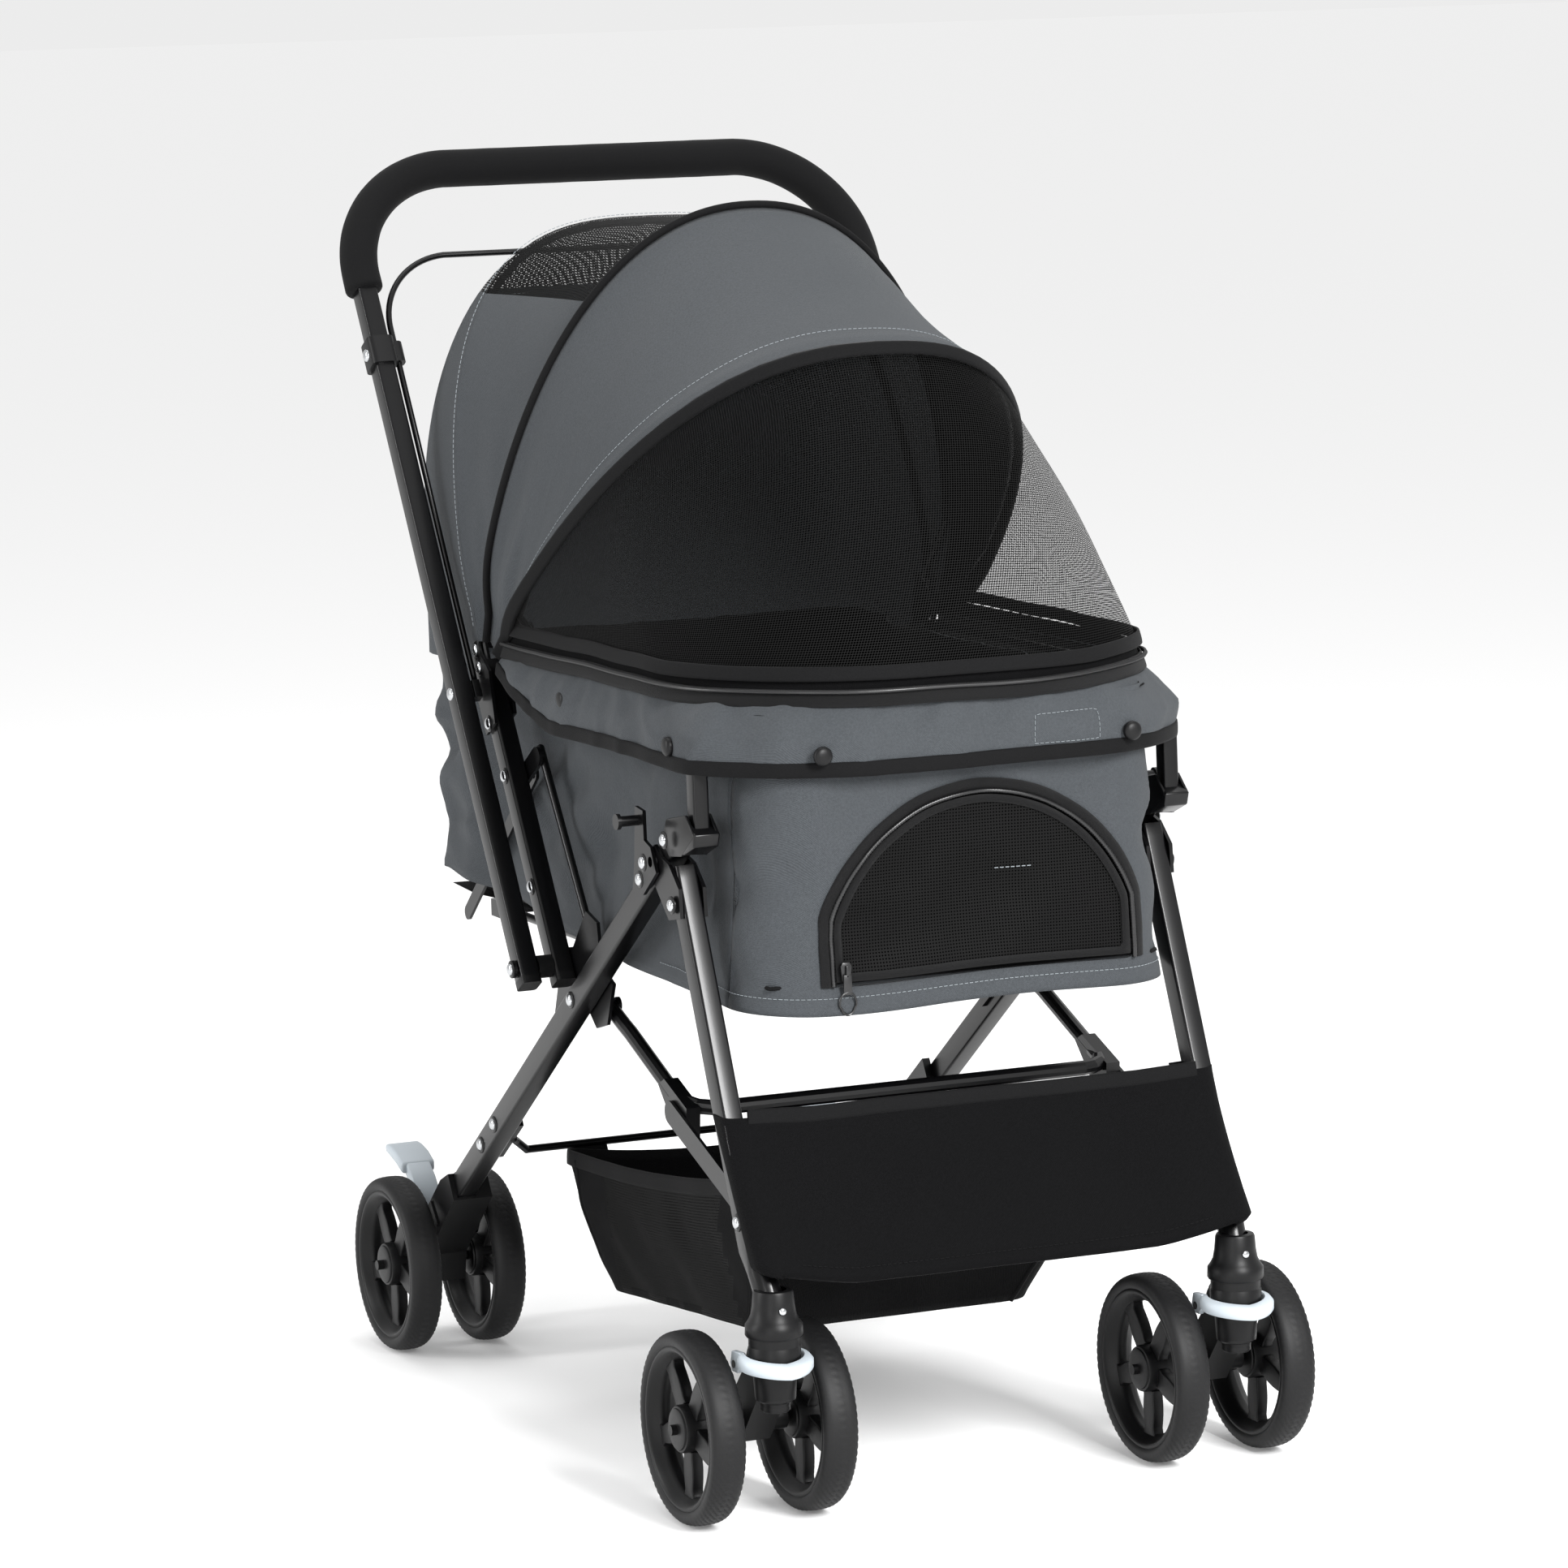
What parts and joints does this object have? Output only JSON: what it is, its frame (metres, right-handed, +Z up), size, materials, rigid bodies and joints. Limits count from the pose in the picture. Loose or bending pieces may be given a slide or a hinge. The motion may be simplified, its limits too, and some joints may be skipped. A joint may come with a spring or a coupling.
{
  "type": "pet stroller",
  "caption": "Folding pet stroller: square-tube frame, mesh-windowed fabric cabin, reversible handle, twin-wheel casters and under basket",
  "frame": {"origin": "on the floor under the middle of the overall box, half way across, along and at the wheels' contact height", "axes": "-Y is the front of the stroller, +Z up, X runs across between the left and right wheels"},
  "size_m": [0.508, 0.8035, 0.9895],
  "materials": {
    "black_paint": "satin",
    "black_plastic": "matte",
    "grey_fabric": "matte",
    "black_fabric": "matte",
    "black_mesh": "matte",
    "zip_tape": "matte",
    "pad_fabric": "matte",
    "foam": "matte",
    "grey_plastic": "satin",
    "tyre": "matte"
  },
  "bodies": {
    "rear_frame": {"rear_legs": "black_paint", "leg_brackets": "black_paint", "latch_levers": "black_paint", "axle_housings": "black_plastic", "basket_rod": "black_paint", "basket": "black_fabric"},
    "front_frame": {"front_legs": "black_paint", "pivot_plates": "black_paint", "leg_sockets": "black_plastic", "front_panel": "black_fabric"},
    "brace_upper": {"brace_tube": "black_paint"},
    "brace_lower": {"brace_links": "black_paint"},
    "upright": {"uprights": "black_paint", "back_stays": "black_paint", "hinge_brackets": "black_paint", "rear_bow": "black_paint", "canopy_rear": "grey_fabric"},
    "floor_stay": {"floor_stays": "black_paint"},
    "cabin": {"rim_rail": "black_paint", "tub_walls": "grey_fabric", "tub_front": "grey_fabric", "skirt": "grey_fabric", "rim_zip": "zip_tape", "snaps": "black_plastic"},
    "rim_pull": {"rim_puller": "black_plastic"},
    "cabin_floor": {"floor_rails": "black_paint", "floor_pad": "pad_fabric"},
    "door": {"door_flap": "black_mesh"},
    "door_pull": {"door_puller": "black_plastic"},
    "front_post": {"front_posts": "black_paint"},
    "handle": {"handle_tube": "black_paint", "grip": "foam", "wire_clips": "black_plastic"},
    "release": {"release_wire": "black_paint"},
    "canopy_mid": {"mid_bow": "black_paint", "canopy_hood": "grey_fabric"},
    "canopy_front": {"front_bow": "black_paint", "window_mesh": "black_mesh"},
    "caster_left": {"caster_l": "black_plastic"},
    "caster_right": {"caster_r": "black_plastic"},
    "lock_left": {"lock_l": "grey_plastic"},
    "lock_right": {"lock_r": "grey_plastic"},
    "pedal_left": {"pedal_l": "grey_plastic"},
    "pedal_right": {"pedal_r": "grey_plastic"},
    "wheel_f1": {"tyre_f1": "tyre", "rim_f1": "black_plastic"},
    "wheel_r1": {"tyre_r1": "tyre", "rim_r1": "black_plastic"},
    "wheel_f2": {"tyre_f2": "tyre", "rim_f2": "black_plastic"},
    "wheel_r2": {"tyre_r2": "tyre", "rim_r2": "black_plastic"},
    "wheel_f3": {"tyre_f3": "tyre", "rim_f3": "black_plastic"},
    "wheel_r3": {"tyre_r3": "tyre", "rim_r3": "black_plastic"},
    "wheel_f4": {"tyre_f4": "tyre", "rim_f4": "black_plastic"},
    "wheel_r4": {"tyre_r4": "tyre", "rim_r4": "black_plastic"}
  },
  "joints": [
    {"name": "frame_fold", "type": "hinge", "parent": "rear_frame", "child": "front_frame", "pos_m": [0, -0.211, 0.477], "axis": [1, 0, 0], "range_deg": [0, 60], "deforming": ["basket", "front_panel", "tub_walls", "tub_front", "skirt", "rim_zip", "floor_pad", "door_flap", "canopy_rear", "canopy_hood", "window_mesh"]},
    {"name": "upright_fold", "type": "hinge", "parent": "rear_frame", "child": "upright", "pos_m": [0, 0.013, 0.365], "axis": [1, 0, 0], "range_deg": [-75, 0]},
    {"name": "post_fold", "type": "hinge", "parent": "rear_frame", "child": "front_post", "pos_m": [0, -0.239, 0.497], "axis": [1, 0, 0], "range_deg": [-109, 0]},
    {"name": "brace_upper_fold", "type": "hinge", "parent": "rear_frame", "child": "brace_upper", "pos_m": [0, -0.044, 0.34], "axis": [1, 0, 0], "range_deg": [-25.9, 0]},
    {"name": "brace_lower_fold", "type": "hinge", "parent": "front_frame", "child": "brace_lower", "pos_m": [0, -0.353, 0.214], "axis": [1, 0, 0], "range_deg": [0, 58.2]},
    {"name": "cabin_fold", "type": "hinge", "parent": "upright", "child": "cabin", "pos_m": [0, 0.139, 0.588], "axis": [1, 0, 0], "range_deg": [0, 47.5]},
    {"name": "floor_rise", "type": "slide", "parent": "cabin", "child": "cabin_floor", "axis": [0, 0, 1], "range_m": [0, 0.118]},
    {"name": "floor_stay_fold", "type": "hinge", "parent": "upright", "child": "floor_stay", "pos_m": [0, 0.098, 0.505], "axis": [1, 0, 0], "range_deg": [0, 64.5]},
    {"name": "handle_turn", "type": "hinge", "parent": "upright", "child": "handle", "pos_m": [0, 0.013, 0.365], "axis": [1, 0, 0], "range_deg": [0, 81]},
    {"name": "handle_release", "type": "slide", "parent": "handle", "child": "release", "axis": [0, 0.5192, 0.8546], "range_m": [0, 0.01], "stiffness_N_per_m": 800, "springref_m": -0.004},
    {"name": "canopy_mid_fold", "type": "hinge", "parent": "upright", "child": "canopy_mid", "pos_m": [0, 0.139, 0.588], "axis": [1, 0, 0], "range_deg": [-24, 0]},
    {"name": "canopy_front_fold", "type": "hinge", "parent": "canopy_mid", "child": "canopy_front", "pos_m": [0, 0.139, 0.588], "axis": [1, 0, 0], "range_deg": [-24, 0]},
    {"name": "door_open", "type": "hinge", "parent": "cabin", "child": "door", "pos_m": [0, -0.3246, 0.3944], "axis": [1, 0, 0], "range_deg": [0, 100]},
    {"name": "door_zip_pull", "type": "hinge", "parent": "door", "child": "door_pull", "pos_m": [-0.106, -0.3292, 0.404], "axis": [0, 1, 0], "range_deg": [-40, 40]},
    {"name": "rim_zip_pull", "type": "hinge", "parent": "cabin", "child": "rim_pull", "pos_m": [0.208, 0.002, 0.59], "axis": [1, 0, 0], "range_deg": [-75, 75]},
    {"name": "swivel_left", "type": "hinge", "parent": "front_frame", "child": "caster_left", "pos_m": [-0.191, -0.377, 0.12], "axis": [0, 0, 1], "continuous": true},
    {"name": "swivel_lock_left", "type": "hinge", "parent": "caster_left", "child": "lock_left", "pos_m": [-0.191, -0.356, 0.124], "axis": [1, 0, 0], "range_deg": [-7, 0]},
    {"name": "brake_left", "type": "hinge", "parent": "rear_frame", "child": "pedal_left", "pos_m": [-0.19, 0.338, 0.112], "axis": [1, 0, 0], "range_deg": [-16, 0]},
    {"name": "swivel_right", "type": "hinge", "parent": "front_frame", "child": "caster_right", "pos_m": [0.191, -0.377, 0.12], "axis": [0, 0, 1], "continuous": true},
    {"name": "swivel_lock_right", "type": "hinge", "parent": "caster_right", "child": "lock_right", "pos_m": [0.191, -0.356, 0.124], "axis": [1, 0, 0], "range_deg": [-7, 0]},
    {"name": "brake_right", "type": "hinge", "parent": "rear_frame", "child": "pedal_right", "pos_m": [0.19, 0.338, 0.112], "axis": [1, 0, 0], "range_deg": [-16, 0]},
    {"name": "spin_f1", "type": "hinge", "parent": "caster_left", "child": "wheel_f1", "pos_m": [-0.236, -0.326, 0.0725], "axis": [1, 0, 0], "continuous": true},
    {"name": "spin_r1", "type": "hinge", "parent": "rear_frame", "child": "wheel_r1", "pos_m": [-0.227, 0.314, 0.0725], "axis": [1, 0, 0], "continuous": true},
    {"name": "spin_f2", "type": "hinge", "parent": "caster_left", "child": "wheel_f2", "pos_m": [-0.146, -0.326, 0.0725], "axis": [1, 0, 0], "continuous": true},
    {"name": "spin_r2", "type": "hinge", "parent": "rear_frame", "child": "wheel_r2", "pos_m": [-0.153, 0.314, 0.0725], "axis": [1, 0, 0], "continuous": true},
    {"name": "spin_f3", "type": "hinge", "parent": "caster_right", "child": "wheel_f3", "pos_m": [0.146, -0.326, 0.0725], "axis": [1, 0, 0], "continuous": true},
    {"name": "spin_r3", "type": "hinge", "parent": "rear_frame", "child": "wheel_r3", "pos_m": [0.153, 0.314, 0.0725], "axis": [1, 0, 0], "continuous": true},
    {"name": "spin_f4", "type": "hinge", "parent": "caster_right", "child": "wheel_f4", "pos_m": [0.236, -0.326, 0.0725], "axis": [1, 0, 0], "continuous": true},
    {"name": "spin_r4", "type": "hinge", "parent": "rear_frame", "child": "wheel_r4", "pos_m": [0.227, 0.314, 0.0725], "axis": [1, 0, 0], "continuous": true}
  ],
  "couplings": [
    {"joint": "upright_fold", "follows": "frame_fold", "ratio": -1.25},
    {"joint": "post_fold", "follows": "frame_fold", "ratio": -1.8167},
    {"joint": "brace_upper_fold", "follows": "frame_fold", "ratio": -0.43167},
    {"joint": "brace_lower_fold", "follows": "frame_fold", "ratio": 0.97},
    {"joint": "cabin_fold", "follows": "frame_fold", "ratio": 0.79167},
    {"joint": "floor_stay_fold", "follows": "frame_fold", "ratio": 1.075},
    {"joint": "floor_rise", "follows": "frame_fold", "m_per_rad": 0.11268}
  ]
}
